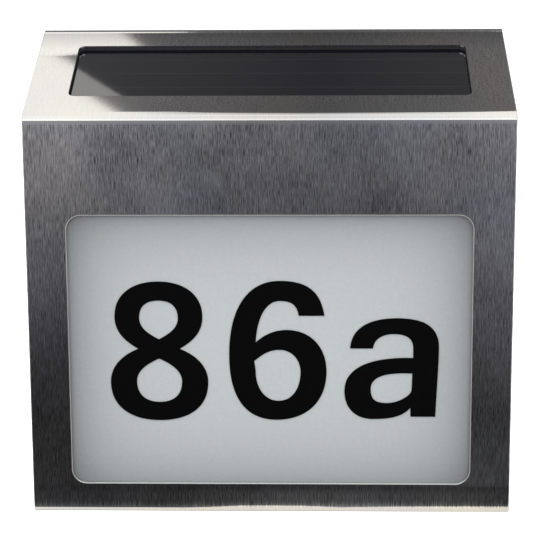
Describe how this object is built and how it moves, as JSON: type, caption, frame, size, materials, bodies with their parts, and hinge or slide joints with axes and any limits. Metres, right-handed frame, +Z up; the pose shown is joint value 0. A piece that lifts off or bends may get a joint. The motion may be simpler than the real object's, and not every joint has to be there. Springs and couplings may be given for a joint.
{
  "type": "illuminated house number sign",
  "caption": "Solar-lit house number sign: brushed steel box with a sloped roof over a solar panel and a frosted window that carries plain black characters, for a wall.",
  "frame": {"origin": "middle of the base's rear edge, where the base meets the wall face", "axes": "+X along the wall to the viewer's right, +Y into the wall, +Z up; the window faces -Y"},
  "size_m": [0.2, 0.058, 0.2006],
  "materials": {
    "brushed_steel": "stainless steel, brushed up the front and up the roof",
    "frosted_acrylic": "opal acrylic with a fine frosted face",
    "black_vinyl": "flat black self-adhesive film",
    "black_tape": "thin black foam tape",
    "black_gasket": "black sealing foam",
    "solar_glass": "clear low-iron glass",
    "solar_cells": "dark thin-film cell strips",
    "circuit_board": "green solder mask",
    "case_plastic": "black moulded plastic with a fine grain",
    "white_reflector": "white diffuse sheet",
    "led_lens": "yellow phosphor under clear resin",
    "screw_steel": "bright zinc-plated or stainless steel",
    "battery_wrap": "plain shrink sleeve",
    "nickel_plate": "nickel-plated spring steel",
    "chip_black": "moulded epoxy and ferrite",
    "capacitor_can": "plain aluminium can",
    "switch_shell": "folded steel switch shell",
    "slider_plastic": "black moulded plastic",
    "lead_red": "soft insulation",
    "lead_black": "soft insulation"
  },
  "bodies": {
    "sign": {"cover_shell": "brushed_steel", "window_tape": "black_tape", "window_pane": "frosted_acrylic", "digit_eight": "black_vinyl", "digit_six": "black_vinyl", "letter_a": "black_vinyl", "panel_gasket": "black_gasket", "solar_glass": "solar_glass", "solar_cells": "solar_cells", "solar_backing": "circuit_board", "rear_case": "case_plastic", "reflector": "white_reflector", "led_board": "circuit_board", "leds": "led_lens", "led_board_screws": "screw_steel", "battery_cell": "battery_wrap", "positive_contact": "nickel_plate", "spring_contact": "nickel_plate", "door_seal": "black_gasket", "control_board": "circuit_board", "control_board_screws": "screw_steel", "control_chip": "chip_black", "charge_coil": "chip_black", "storage_capacitor": "capacitor_can", "switch_body": "switch_shell", "cover_screws": "screw_steel", "solar_lead_red": "lead_red", "solar_lead_black": "lead_black", "led_lead_red": "lead_red", "led_lead_black": "lead_black", "battery_lead_red": "lead_red", "battery_lead_black": "lead_black"},
    "battery_door": {"battery_door": "case_plastic", "door_screw": "screw_steel"},
    "switch": {"switch_slider": "slider_plastic"}
  },
  "joints": [
    {"name": "battery_door_hinge", "type": "hinge", "parent": "sign", "child": "battery_door", "pos_m": [0, -0.00195, 0.17397], "axis": [1, 0, 0], "range_deg": [0, 100]},
    {"name": "power_switch_slide", "type": "slide", "parent": "sign", "child": "switch", "axis": [1, 0, 0], "range_m": [0, 0.004]}
  ]
}
